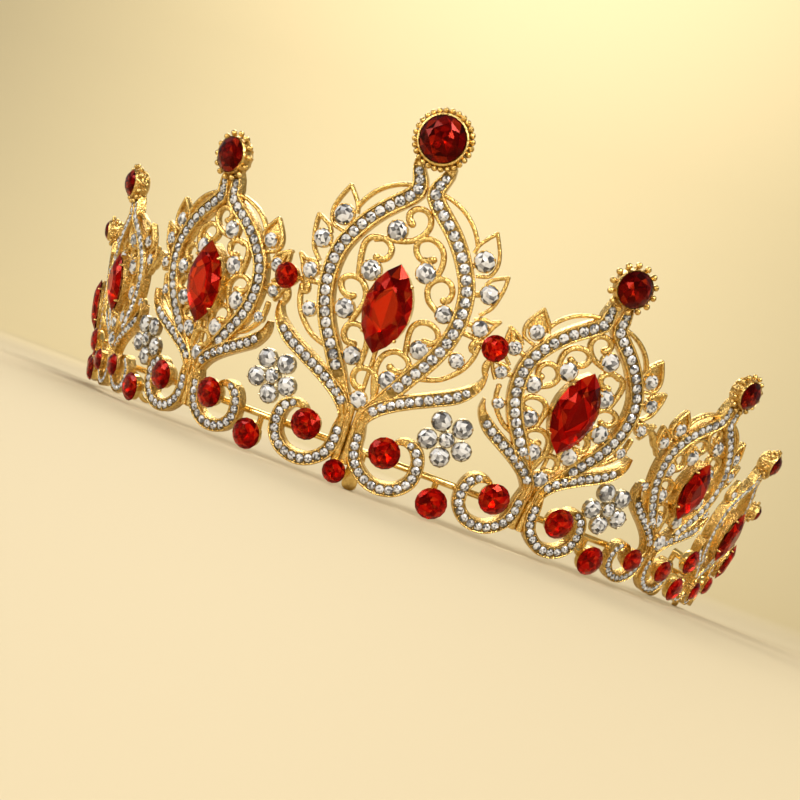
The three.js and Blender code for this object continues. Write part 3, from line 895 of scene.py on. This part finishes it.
@dataclass
class LeafPanel:
    """One cast panel of the tiara with its clear stones."""

    size: PanelSize
    index: int
    side: Side
    surface: Surface
    palette: Palette
    band: float = 1.48
    sepal: float = 1.3
    scroll: float = 1.24
    wire: float = 0.42
    rim: float = 0.34
    pave_share: float = 0.61
    pave_pitch: float = 1.03

    def __post_init__(self) -> None:
        """Works out the panel's scales and starts its metal and stones."""
        self.arc = self.size.arc * self.side.value
        self.scale = min(1.0, 0.45 + 0.55 * self.size.wide)
        self.knee = KNEE * self.size.foot
        self.stretch = (self.size.finial - self.knee) / (TEMPLATE_FINIAL - KNEE)
        self.metal = Metalwork(self.surface.bent(self.arc))
        self.stones = StoneTray()

    @property
    def label(self) -> str:
        """The panel's name among the nodes."""
        return self.size.key if self.size.arc == 0 else f"{self.side.name.lower()}_{self.size.key}"

    def up(self, height: float) -> float:
        """Height in this panel of a height in the template."""
        return height * self.size.foot if height < KNEE else self.knee + (height - KNEE) * self.stretch

    def leaf(self, point: Flat) -> Flat:
        """Place in this panel of a place in the template's leaf."""
        return point[0] * self.size.wide, self.up(point[1])

    def drawn(self, points: Iterable[Flat], hand: int, steps: int) -> list[Vector]:
        """A smooth line through places of the template's leaf, on one hand."""
        return spline(mirrored(map(self.leaf, points), hand), steps)

    def setting(self, spot: Flat, depth: float) -> Matrix:
        """Axes for a stone at a flat place."""
        return self.surface.frame(self.arc, spot[0], spot[1], depth)

    def build(self) -> list[bpy.types.Object]:
        """Makes the panel's metal and clear stones.

        Returns:
            The two pieces.
        """
        for hand in (-1, 1):
            self.add_bands(hand)
            self.add_vines(hand)
            for leaf in LEAVES:
                if self.index <= leaf.last:
                    self.add_leaf(leaf, hand)
        for volute in VOLUTES:
            if self.index <= volute.last:
                self.add_volute(volute, -1 if self.index == 0 else 1)
        self.add_root()
        self.add_finial()
        self.add_red_seats()
        return self.dress()

    def ogee_half(self, share: float) -> float:
        """Half width of the ogee band, narrow at the neck and where it ends."""
        neck, end = min(1.0, share / 0.11), min(1.0, (1 - share) / 0.16)
        return self.band * self.scale * (0.45 + 0.55 * neck) * (0.4 + 0.6 * end)

    def sepal_half(self, share: float) -> float:
        """Half width of a sepal, which starts as a stem and ends in a point."""
        stem, tip = min(1.0, share / 0.16), max(0.0, (share - 0.72) / 0.28)
        return self.sepal * self.scale * (0.68 + 0.32 * stem) * (1 - 0.88 * tip**1.5)

    def scroll_half(self, share: float) -> float:
        """Half width of a foot scroll, which starts as a stem and ends in a thin tail.

        Args:
            share: Share of the scroll's line.

        Returns:
            The half width there.
        """
        stem, tail = min(1.0, share / 0.12), max(0.0, (share - 0.84) / 0.16)
        full = self.scroll * self.scale * min(1.0, self.size.foot + 0.12)
        return full * (0.72 + 0.28 * stem) * (1 - 0.75 * tail)

    def add_bands(self, hand: int) -> None:
        """Ogee, sepal and foot scroll on one side, each a channel of stones.

        Args:
            hand: Side of the panel.
        """
        reach, foot = self.size.reach, self.size.foot
        ogee = [self.leaf(point) for point in OGEE]
        if self.index:
            ogee[:3] = [(x * share, y) for share, (x, y) in zip(NECK_SHARES, ogee)]
        rows = (
            (ogee, self.ogee_half, 0.06, 0.86),
            ([(x * reach, self.up(y)) for x, y in SEPAL], self.sepal_half, 0.17, 0.84),
            ([(x * foot, y * foot) for x, y in SCROLL], self.scroll_half, 0.09, 0.9),
        )
        for points, half, start, end in rows:
            line = spline(mirrored(points, hand), 48)
            # The channel's inside, a little past its row of stones, gets painted shade.
            self.metal.sweep(CHANNEL, line, half, row=(start - 0.02, end + 0.005))
            self.add_pave(line, half, start, end)

    def add_pave(self, line: list[Vector], half: Callable[[float], float], start: float, end: float) -> None:
        """A row of small stones in a channel, with grains of metal between them.

        Args:
            line: Middle of the channel.
            half: Half width of the channel at a share of the line.
            start: Share of the line where the row starts.
            end: Share where it ends.
        """
        length = line_length(line)
        share = start
        while share < end:
            radius = half(share) * self.pave_share
            here, ahead = along(line, share)
            turn = math.degrees(math.atan2(ahead.y, ahead.x))
            self.stones.put(Cut.CHIP, self.setting((here.x, here.y), PAVE_DEPTH), radius, turn)
            step = 2 * radius * self.pave_pitch / length
            between, across = along(line, share + step / 2)
            for beside in (-1, 1):
                edge = between + Vector((-across.y, across.x)) * beside * half(share) * 0.54
                self.metal.ball((edge.x, edge.y), 0.19 * self.scale, GRAIN_DEPTH)
            share += step

    def add_vines(self, hand: int) -> None:
        """Plain wires outside the ogee.

        Args:
            hand: Side of the panel.
        """
        if self.index < 3:
            self.metal.sweep(RIM, self.drawn(NECK_VINE, hand, 14), lambda t: self.rim * 1.15 * self.scale)
        if self.index < 2:
            inset = 1.0 if self.index == 0 else 0.9
            vine = self.drawn([(x * inset, y) for x, y in SIDE_VINE], hand, 18)
            self.metal.sweep(RIM, vine, lambda t: self.rim * 1.3 * self.scale)
            self.metal.ball(tuple(vine[0]), self.rim * 1.7 * self.scale, -0.05, finer=True)

    def add_leaf(self, leaf: Leaf, hand: int) -> None:
        """A clear stone in a cup, tied to the ogee, with the rims of its leaf.

        Args:
            leaf: Its places in the template.
            hand: Side of the panel.
        """
        spot = mirrored([self.leaf(leaf.stone)], hand)[0]
        radius = leaf.radius * self.scale * (1.0 if self.index == 0 else 0.8)
        for rim in (leaf.outer, leaf.inner):
            if rim:
                self.metal.sweep(RIM, self.drawn(rim, hand, 16), lambda t: self.rim * self.scale)
        if leaf.outer:
            tip = mirrored([self.leaf(leaf.outer[-1])], hand)[0]
            self.metal.ball(tip, self.rim * 1.15 * self.scale, -0.05, finer=True, stretch=(1, 1, 1.7))
        if self.index and len(leaf.outer) > 4:
            web = map(self.leaf, leaf.outer[2:] + leaf.inner[1:])
            self.metal.plate(mirrored(web, hand), -0.5, 0.05, 0.1)
        self.add_tie(spot, hand)
        self.metal.cup(spot, radius, -0.65, CLEAR_GIRDLE, 4, 30)
        self.stones.put(Cut.SINGLE, self.setting(spot, CLEAR_DEPTH), radius)

    def add_tie(self, spot: Flat, hand: int) -> None:
        """A short wire from a stone's cup to the nearest place on an ogee band.

        Args:
            spot: Flat place of the stone.
            hand: Side whose band it is tied to.
        """
        band = self.drawn(OGEE, hand, 60)
        nearest = min(band, key=lambda point: (point - Vector(spot)).length)
        self.metal.wire(spline([spot, tuple(nearest)], 5), 0.5 * self.scale, -0.2)

    def add_volute(self, volute: Volute, hand: int) -> None:
        """A curl of grainy wire that ends at a clear stone.

        Args:
            volute: Its places in the template.
            hand: The way the whole filigree faces.
        """
        line = self.drawn(volute.curl, hand, 40)
        half = 0.52 * self.scale
        self.metal.sweep(RIM, line, lambda t: half * (1 + 0.25 * max(0.0, t - 0.85) / 0.15))
        self.metal.ball(tuple(line[-1]), half * 1.3, 0.0, finer=True, stretch=(1, 1, 1.2))
        spot = mirrored([self.leaf(volute.stone)], hand)[0]
        radius = volute.radius * self.scale
        if volute.tied:
            self.add_tie(spot, 1 if spot[0] > 0 else -1)
        self.metal.cup(spot, radius, -0.7, CLEAR_GIRDLE, 4)
        self.stones.put(Cut.SINGLE, self.setting(spot, CLEAR_DEPTH), radius)

    def add_root(self) -> None:
        """The stems where the two halves of the panel meet, and the stem of the marquise."""
        foot = self.size.foot
        for hand in (-1, 1):
            stem = [(0.85 * foot, 2.6 * foot), (0.8 * foot, 8 * foot), (0.95 * foot, self.knee * 1.08)]
            self.metal.wire(spline(mirrored(stem, hand), 10), 0.82 * foot)
        if self.index == 2:
            self.metal.cup(STEM_STONE[:2], STEM_STONE[2], 0.2, 1.2, 4)
            self.stones.put(Cut.SINGLE, self.setting(STEM_STONE[:2], 1.28), STEM_STONE[2])
        bottom = self.up(NAVETTE_UP) - self.size.navette * 0.44
        self.metal.wire(spline([(0, bottom), (0, self.knee)], 8), self.wire * self.scale, -0.25)

    def add_finial(self) -> None:
        """The cup at the panel's top: fine beads round the front one, ribs of balls on the others."""
        centre, cup, ruby = (0.0, self.size.finial), self.size.cup, self.size.ruby
        fine = self.index == 0
        bezel = ruby + (0.5 if fine else 0.28)
        profile = [(0, -1.1), (cup * 0.5, -1.1), (cup * 0.66, -0.6), (bezel * 1.02, 0.6), (bezel, 1.85),
                   (bezel - 0.1, 2.15), (ruby + 0.12, 2.25), (ruby - 0.02, 2.1), (ruby * 0.8, 1.0),
                   (ruby * 0.5, 0.35), (0, 0.1)]
        self.metal.turned(centre, profile, 40)
        beads, bead = (28, 0.55) if fine else (14, 0.13 * cup)
        rows = ((0.0, 1.3, 1.0), (0.1, 0.55, 0.95), (0.4, -0.2, 0.95)) if fine else (
            (0.0, 1.35, 1.0), (0.13 * cup, 0.55, 0.8), (0.25 * cup, -0.25, 0.8))
        for inset, depth, share in rows:
            for spot in round_points(centre, cup - bead * 0.9 - inset, 0, beads):
                self.metal.ball(spot, bead * share, depth, finer=True)

    def add_red_seats(self) -> None:
        """The marquise's plate, gallery and claws, and the hidden cups of the foot's red stones."""
        middle, length = self.up(NAVETTE_UP), self.size.navette / 2
        plate = [(x * length, y * length + middle) for x, y in navette_outline(0.94, 0.0, 9)]
        self.metal.plate(plate, -0.7, 0.1, 0.15)
        wall = [Vector((x * length, y * length + middle)) for x, y in navette_outline(0.92, 0.0, 12)]
        section = [(-1, -0.3), (1, -0.3), (1, NAVETTE_GIRDLE - 0.3), (-1, NAVETTE_GIRDLE - 0.3)]
        self.metal.sweep(section, wall + wall[:1], lambda t: 0.22)
        for share in (-0.6, 0.6):
            for hand in (-1, 1):
                claw = (NAVETTE_RATIO * 0.68 * length * hand, share * length + middle)
                self.metal.ball(claw, 0.36 * self.scale, NAVETTE_GIRDLE - 0.1, finer=True,
                                stretch=(1, 1, 2.4))
        for spot in self.bead_spots():
            self.metal.seat(spot, self.size.bead, -0.5, BEAD_LIP)

    def bead_spots(self) -> list[Flat]:
        """Places of the foot's red stones."""
        x, y = BEAD[0] * self.size.foot, BEAD[1] * self.size.foot
        return [[], [(0.0, y)], [(-x, y), (x, y)]][self.size.beads]

    def red_stones(self) -> list[bpy.types.Object]:
        """Makes the panel's red stones, one piece for each node.

        Returns:
            The stones.
        """
        ends = [[], [""], ["_a", "_b"]][self.size.beads]
        marquise, finial = (0.0, self.up(NAVETTE_UP)), (0.0, self.size.finial)
        rows = [(f"marquise_{self.label}", Cut.NAVETTE, marquise, NAVETTE_GIRDLE, self.size.navette / 2),
                (f"finial_stone_{self.label}", Cut.BRILLIANT, finial, FINIAL_GIRDLE, self.size.ruby)]
        for end, spot in zip(ends, self.bead_spots()):
            rows.append((f"scroll_stone_{self.label}{end}", Cut.BRILLIANT, spot, BEAD_GIRDLE, self.size.bead))
        made: list[bpy.types.Object] = []
        for name, cut, spot, depth, size in rows:
            finish = self.palette.deep if spot is finial else self.palette.red
            made.append(red_stone(name, cut, self.setting(spot, depth), size, finish))
        return made

    def dress(self) -> list[bpy.types.Object]:
        """Turns the gathered parts into pieces in place of the panel's node.

        Returns:
            The metal and the clear stones.
        """
        node = f"panel_{self.label}"
        # The second material is the painted shade inside the channels.
        metal = self.metal.finish(f"{node}_casting", (self.palette.cast, self.palette.painted_shade), "gold_casting")
        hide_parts(node)
        stones = self.stones.finish(f"{node}_clear_stones", self.palette.clear, "clear_stone")
        return [metal, stones]


def red_stone(node: str, cut: Cut, place: Matrix, size: float,
              materials: Iterable[bpy.types.Material]) -> bpy.types.Object:
    """A red stone in place of its node.

    Args:
        node: The node it stands for.
        cut: How it is cut.
        place: Axes of its setting.
        size: Its radius or half length.
        materials: Its glass and foil.

    Returns:
        The stone.
    """
    tray = StoneTray(len(node))
    tray.put(cut, place, size, 11.0 if cut is Cut.BRILLIANT else 0.0)
    stone = tray.finish(f"{node}_cut", materials, "red_stone")
    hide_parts(node)
    return stone


# Rail, loops and flowers


@dataclass(frozen=True)
class RailStone:
    """A red stone that the rail carries between two panels."""

    key: str
    arc: float
    up: float
    radius: float


RAIL_STONES = (
    RailStone("1", 17.0, 1.9, 2.8),
    RailStone("2", 48.3, 2.2, 2.8),
    RailStone("3", 75.0, 2.6, 2.6),
    RailStone("3_upper", 75.0, 8.8, 2.6),
    RailStone("4", 94.2, 5.6, 2.2),
)
FOOT_STONE = RailStone("foot_stone_centre", 0.0, 1.2, 2.1)
SIDE_STONE = (18.7, 30.4, 2.3)


@dataclass
class Rail:
    """The wire behind the panels, with the cups and tabs soldered to it."""

    surface: Surface
    palette: Palette
    radius: float = 0.65
    up: float = 5.2
    depth: float = -2.0
    tab_arc: float = 104.5
    front_tab_arc: float = 2.6
    tab_half: float = 1.35
    tab_thick: float = 1.3
    post: float = 0.6
    peg: float = 0.8
    steps: int = 120

    def build(self) -> list[bpy.types.Object]:
        """Makes the rail and the stones that it carries.

        Returns:
            The rail and its stones.
        """
        metal = Metalwork(self.surface.bent(0.0))
        reach = self.tab_arc + 1.2
        stretched = self.surface.radius(self.up) / self.surface.base_radius
        shares = [2 * i / self.steps - 1 for i in range(self.steps + 1)]
        line = [Vector((reach * stretched * share, self.up)) for share in shares]
        metal.wire(line, self.radius, self.depth, 12)
        stones: list[bpy.types.Object] = []
        rows = [(FOOT_STONE.key, FOOT_STONE, 0.0)]
        for side in Side:
            for stone in RAIL_STONES:
                rows.append((f"rail_stone_{side.name.lower()}_{stone.key}", stone, stone.arc * side.value))
        for node, stone, arc in rows:
            metal.place = self.surface.bent(arc)
            metal.seat((0, stone.up), stone.radius, 0.3, BEAD_LIP)
            past = math.copysign(0.2, self.up - stone.up)
            metal.wire(spline([(0, stone.up), (0, self.up + past)], 6), self.post, self.depth + 0.1)
            self.add_post(metal, stone)
            place = self.surface.frame(arc, 0, stone.up, BEAD_GIRDLE)
            stones.append(red_stone(node, Cut.BRILLIANT, place, stone.radius, self.palette.red))
        for arc in (-self.tab_arc, self.front_tab_arc, self.tab_arc):
            self.add_tab(metal, arc)
        piece = metal.finish("rail_wire", [self.palette.wire], "gold_wire")
        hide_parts("rail")
        return [piece, *stones]

    def add_post(self, metal: Metalwork, stone: RailStone) -> None:
        """A short peg from the rail's depth out to a stone's cup."""
        peg = [(0, self.depth - 0.2), (self.peg, self.depth - 0.2), (self.peg, 0.5), (0, 0.5)]
        metal.turned((0, stone.up), peg, 12)

    def add_tab(self, metal: Metalwork, arc: float) -> None:
        """A hairpin tab: a rounded tongue from the rail down to the table.

        Args:
            metal: The rail's metal.
            arc: Where it hangs.
        """
        lean = math.tan(self.surface.flare)
        top = self.surface.point(arc, 0, self.up + 0.5, self.depth)
        turn = Matrix.Rotation(arc / self.surface.base_radius, 4, "Z")
        part = bmesh.new()
        bmesh.ops.create_cube(part, size=1.0)
        bmesh.ops.scale(part, verts=part.verts, vec=(2 * self.tab_half * MM, self.tab_thick * MM, top.z))
        bmesh.ops.translate(part, verts=part.verts, vec=(0, 0, -top.z / 2))
        corners = [e for e in part.edges if all(v.co.z < -0.9 * top.z for v in e.verts)
                   and abs(e.verts[0].co.y - e.verts[1].co.y) > 0.5 * MM]
        bmesh.ops.bevel(part, geom=corners, offset=1.1 * MM, affect="EDGES", segments=6, profile=0.5,
                        material=-1)
        rims = [e for e in part.edges if abs(e.verts[0].co.y - e.verts[1].co.y) < 0.1 * MM]
        bmesh.ops.bevel(part, geom=rims, offset=0.35 * MM, affect="EDGES", segments=3, profile=0.5,
                        material=-1)
        for vertex in part.verts:
            vertex.co.y -= lean * vertex.co.z
        metal.take(part, lambda co: top + (turn @ co))


@dataclass
class EndLoop:
    """A wire with an eye at one end of the tiara."""

    side: Side
    surface: Surface
    palette: Palette
    radius: float = 3.0
    wire: float = 0.6
    inward: float = 0.6
    length: float = 13.5
    start_arc: float = 98.5
    start_up: float = 7.1

    def build(self) -> bpy.types.Object:
        """Makes the loop in place of its node.

        Returns:
            The loop.
        """
        start = self.surface.point(self.start_arc, 0, self.start_up, -2.0) / MM
        heading = (self.start_arc + 6) / self.surface.base_radius + self.inward
        ahead = Vector((math.cos(heading), math.sin(heading), 0))
        centre = start + ahead * self.length
        centre.z = self.radius + self.wire
        flat = [Vector((0, 0)), Vector((self.length * 0.4, (centre.z - start.z) * 0.4))]
        turn = math.tau - 0.5
        for i in range(13):
            angle = math.pi - 0.3 + turn * i / 12
            rise = centre.z - start.z + self.radius * math.sin(angle)
            flat.append(Vector((self.length + self.radius * math.cos(angle), rise)))
        beside = Vector((-ahead.y, ahead.x, 0))

        def placed(co: Vector) -> Vector:
            """Place in the row frame of a place in the plane of the loop."""
            spot = (start + ahead * co.x + Vector((0, 0, co.y)) + beside * co.z) * MM
            return Vector((spot.x * self.side.value, spot.y, spot.z))

        metal = Metalwork(placed)
        metal.wire(spline([tuple(p) for p in flat], 60), self.wire, 0.0, 12)
        bmesh.ops.recalc_face_normals(metal.mesh, faces=metal.mesh.faces)
        node = f"end_loop_{self.side.name.lower()}"
        piece = metal.finish(f"{node}_wire", [self.palette.wire], "gold_wire")
        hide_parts(node)
        return piece


@dataclass
class Flower:
    """A flower of clear stones between two panels."""

    key: str
    arc: float
    up: float
    side: Side
    surface: Surface
    palette: Palette
    petals: int = 5
    ring: float = 3.25
    stone: float = 1.68
    heart: float = 1.3
    turn: float = 54.0

    def build(self) -> list[bpy.types.Object]:
        """Makes the flower's settings and stones in place of its node.

        Returns:
            The settings and the stones.
        """
        arc = self.arc * self.side.value
        place = self.surface.frame(arc, 0, self.up, 0.0)
        metal = Metalwork(lambda co: place @ co)
        stones = StoneTray()
        for spot in round_points((0, 0), self.ring, self.turn, self.petals):
            metal.cup(spot, self.stone, -0.55, 0.5, 4, 20)
            metal.wire(spline([(0.05 * spot[0], 0.05 * spot[1]), spot], 4), 0.45, -0.2)
            stones.put(Cut.SINGLE, place @ Matrix.Translation((*spot, 0.55)), self.stone)
        metal.cup((0, 0), self.heart, -0.6, 0.85, 5)
        stones.put(Cut.SINGLE, place @ Matrix.Translation((0, 0, 0.9)), self.heart)
        node = f"flower_{self.side.name.lower()}_{self.key}"
        settings = metal.finish(f"{node}_settings", [self.palette.pale], "gold_casting")
        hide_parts(node)
        return [settings, stones.finish(f"{node}_stones", self.palette.clear, "clear_stone")]


# Arms beside the front panel, and from each first panel to the second, as distance across and height
EARS: tuple[tuple[Flat, ...], ...] = (
    ((20.0, 34.6), (21.2, 33.4), (21.6, 31.6), (20.4, 30.2)),
    ((18.9, 28.6), (18.5, 26.8), (18.9, 25.0)),
    ((17.0, 30.4), (15.6, 30.0), (15.2, 28.9), (15.9, 28.5), (16.3, 29.4)),
)
ARM_ARC = 48.0
ARM: tuple[Flat, ...] = ((-3.2, 26.6), (-1.2, 27.6), (0.8, 27.2), (2.2, 25.6), (3.6, 25.0))


@dataclass
class Links:
    """The two red stones beside the front panel's leaf, and the small arms that join the panels."""

    surface: Surface
    palette: Palette
    half: float = 0.5

    def build(self) -> list[bpy.types.Object]:
        """Makes both stones and one piece of metal that holds them.

        Returns:
            The metal and the stones.
        """
        across, up, radius = SIDE_STONE
        metal = Metalwork(self.surface.bent(0.0))
        stones: list[bpy.types.Object] = []
        for side in Side:
            metal.place = self.surface.bent(0.0)
            spot = (across * side.value, up)
            metal.seat(spot, radius, -0.5, BEAD_LIP)
            metal.wire(spline([spot, (12.2 * side.value, up + 0.4)], 6), self.half, -0.1)
            for ear in EARS:
                metal.sweep(RIM, spline(mirrored(ear, side.value), 14), self.tapered)
            metal.place = self.surface.bent(ARM_ARC * side.value)
            metal.sweep(RIM, spline(mirrored(ARM, side.value), 14), self.tapered)
            place = self.surface.frame(0.0, spot[0], up, BEAD_GIRDLE)
            name = f"side_stone_{side.name.lower()}"
            stones.append(red_stone(name, Cut.BRILLIANT, place, radius, self.palette.red))
        return [metal.finish("panel_links", [self.palette.cast], "gold_casting"), *stones]

    def tapered(self, share: float) -> float:
        """Half width of an arm, widest in the middle."""
        return self.half * (0.55 + 0.75 * math.sin(math.pi * share))


# Studio


@dataclass(frozen=True)
class Lamp:
    """A soft square light, in metres and watts."""

    name: str
    at: Solid
    towards: Solid
    size: float
    power: float
    colour: Solid


MIDDLE = (0, -0.01, 0.03)
LAMPS = (
    Lamp("key", (0.30, -0.40, 0.50), MIDDLE, 0.22, 3.9, (1.0, 0.96, 0.90)),
    Lamp("fill", (-0.50, -0.40, 0.25), MIDDLE, 0.30, 2.4, (1.0, 0.97, 0.94)),
    Lamp("back", (-0.2, 0.5, 0.5), MIDDLE, 0.3, 2.2, (1.0, 0.93, 0.80)),
    Lamp("low", (0.10, -0.55, 0.06), MIDDLE, 0.10, 0.5, (1.0, 0.97, 0.92)),
    Lamp("wall", (-0.4, 0.8, 1.6), (-0.4, 2.0, 1.1), 1.5, 44.0, (1.0, 0.95, 0.77)),
)


@dataclass
class Studio:
    """Pale floor, soft lights and the camera."""

    camera_at: Solid = (0.03445, -0.20518, 0.00581)
    ahead: Solid = (-0.15715, 0.98536, 0.0661)
    above: Solid = (-0.3391, -0.1167, 0.93349)
    lens: float = 47.08
    floor_colour: Solid = (0.56, 0.475, 0.31)
    backdrop_colour: Solid = (0.88, 0.74, 0.44)
    ambient_colour: Solid = (1.0, 0.94, 0.84)
    ambient: float = 0.30
    floor_half: float = 1.7
    floor_front: float = -0.75
    bend_at: Flat = (1.2, 0.8)
    bend: float = 0.8
    wall_top: float = 4

    def build(self) -> None:
        """Makes the floor, the lights and the camera."""
        self.add_floor()
        for lamp in LAMPS:
            self.add_light(lamp)
        scene = bpy.context.scene
        scene.view_settings.view_transform = "Standard"
        scene.world = scene.world or bpy.data.worlds.new("studio")
        self.add_surroundings(scene.world)
        self.add_camera()

    def add_surroundings(self, world: bpy.types.World) -> None:
        """Dim light from all round, with a pale backdrop where the camera sees past the floor.

        Args:
            world: The scene's world.
        """
        world.use_nodes = True
        nodes, links = world.node_tree.nodes, world.node_tree.links
        dim, seen = nodes["Background"], nodes.new("ShaderNodeBackground")
        mix = nodes.new("ShaderNodeMixShader")
        dim.inputs["Color"].default_value = (*self.ambient_colour, 1)
        dim.inputs["Strength"].default_value = self.ambient
        seen.inputs["Color"].default_value = (*self.backdrop_colour, 1)
        path = nodes.new("ShaderNodeLightPath")
        links.new(path.outputs["Is Camera Ray"], mix.inputs["Fac"])
        links.new(dim.outputs["Background"], mix.inputs[1])
        links.new(seen.outputs["Background"], mix.inputs[2])
        links.new(mix.outputs["Shader"], nodes["World Output"].inputs["Surface"])

    def add_floor(self) -> None:
        """A pale floor that curves up behind the tiara."""
        part = bmesh.new()
        outline = [(self.floor_front, 0), (self.bend_at[0], 0)]
        outline += ring_points(self.bend_at, self.bend, -80, 0, 9)
        outline.append((self.bend_at[0] + self.bend, self.wall_top))
        points = [part.verts.new((-self.floor_half, y, z)) for y, z in outline]
        edges = [part.edges.new(pair) for pair in zip(points, points[1:])]
        grown = bmesh.ops.extrude_edge_only(part, edges=edges)
        moved = [item for item in grown["geom"] if isinstance(item, bmesh.types.BMVert)]
        bmesh.ops.translate(part, verts=moved, vec=(2 * self.floor_half, 0, 0))
        bmesh.ops.recalc_face_normals(part, faces=part.faces)
        mesh = bpy.data.meshes.new("floor")
        part.to_mesh(mesh)
        part.free()
        mesh.shade_smooth()
        material, shader = new_material("floor_paint")
        shader.inputs["Base Color"].default_value = (*self.floor_colour, 1)
        shader.inputs["Roughness"].default_value = 0.75
        mesh.materials.append(material)
        floor = bpy.data.objects.new("floor", mesh)
        bpy.context.scene.collection.objects.link(floor)

    def add_light(self, lamp: Lamp) -> None:
        """A soft square light.

        Args:
            lamp: Its place and power.
        """
        bulb = bpy.data.lights.new(lamp.name, "AREA")
        bulb.size, bulb.energy, bulb.color = lamp.size, lamp.power, lamp.colour
        light = bpy.data.objects.new(lamp.name, bulb)
        light.location = lamp.at
        aim = Vector(lamp.towards) - Vector(lamp.at)
        light.rotation_euler = aim.to_track_quat("-Z", "Y").to_euler()
        bpy.context.scene.collection.objects.link(light)

    def add_camera(self) -> None:
        """The camera, low before the tiara and tilted."""
        lens = bpy.data.cameras.new("camera")
        lens.lens, lens.sensor_width, lens.sensor_fit = self.lens, 36.0, "HORIZONTAL"
        lens.clip_start = 0.005
        camera = bpy.data.objects.new("camera", lens)
        ahead = Vector(self.ahead).normalized()
        right = ahead.cross(Vector(self.above)).normalized()
        turn = Matrix((right, right.cross(ahead), -ahead)).transposed().to_4x4()
        camera.matrix_world = Matrix.Translation(self.camera_at) @ turn
        bpy.context.scene.collection.objects.link(camera)
        bpy.context.scene.camera = camera


FLOWERS = (("1", 15.6, 12.9), ("2", 47.5, 11.8))


def main() -> None:
    """Builds the tiara's pieces in order and reports each."""
    logging.basicConfig(level=logging.INFO, format="%(name)s: %(message)s")
    surface, palette = Surface(), Palette()
    made: list[bpy.types.Object] = []
    for index, size in enumerate(PANELS):
        for side in [Side.RIGHT] if size.arc == 0 else list(Side):
            panel = LeafPanel(size, index, side, surface, palette)
            made += panel.build()
            made += panel.red_stones()
    made += Rail(surface, palette).build()
    made += Links(surface, palette).build()
    for side in Side:
        made.append(EndLoop(side, surface, palette).build())
        for key, arc, up in FLOWERS:
            made += Flower(key, arc, up, side, surface, palette).build()
    for piece in made:
        log.info("%s: %d faces", piece.name, len(piece.data.polygons))
    Studio().build()


if __name__ == "__main__":
    main()
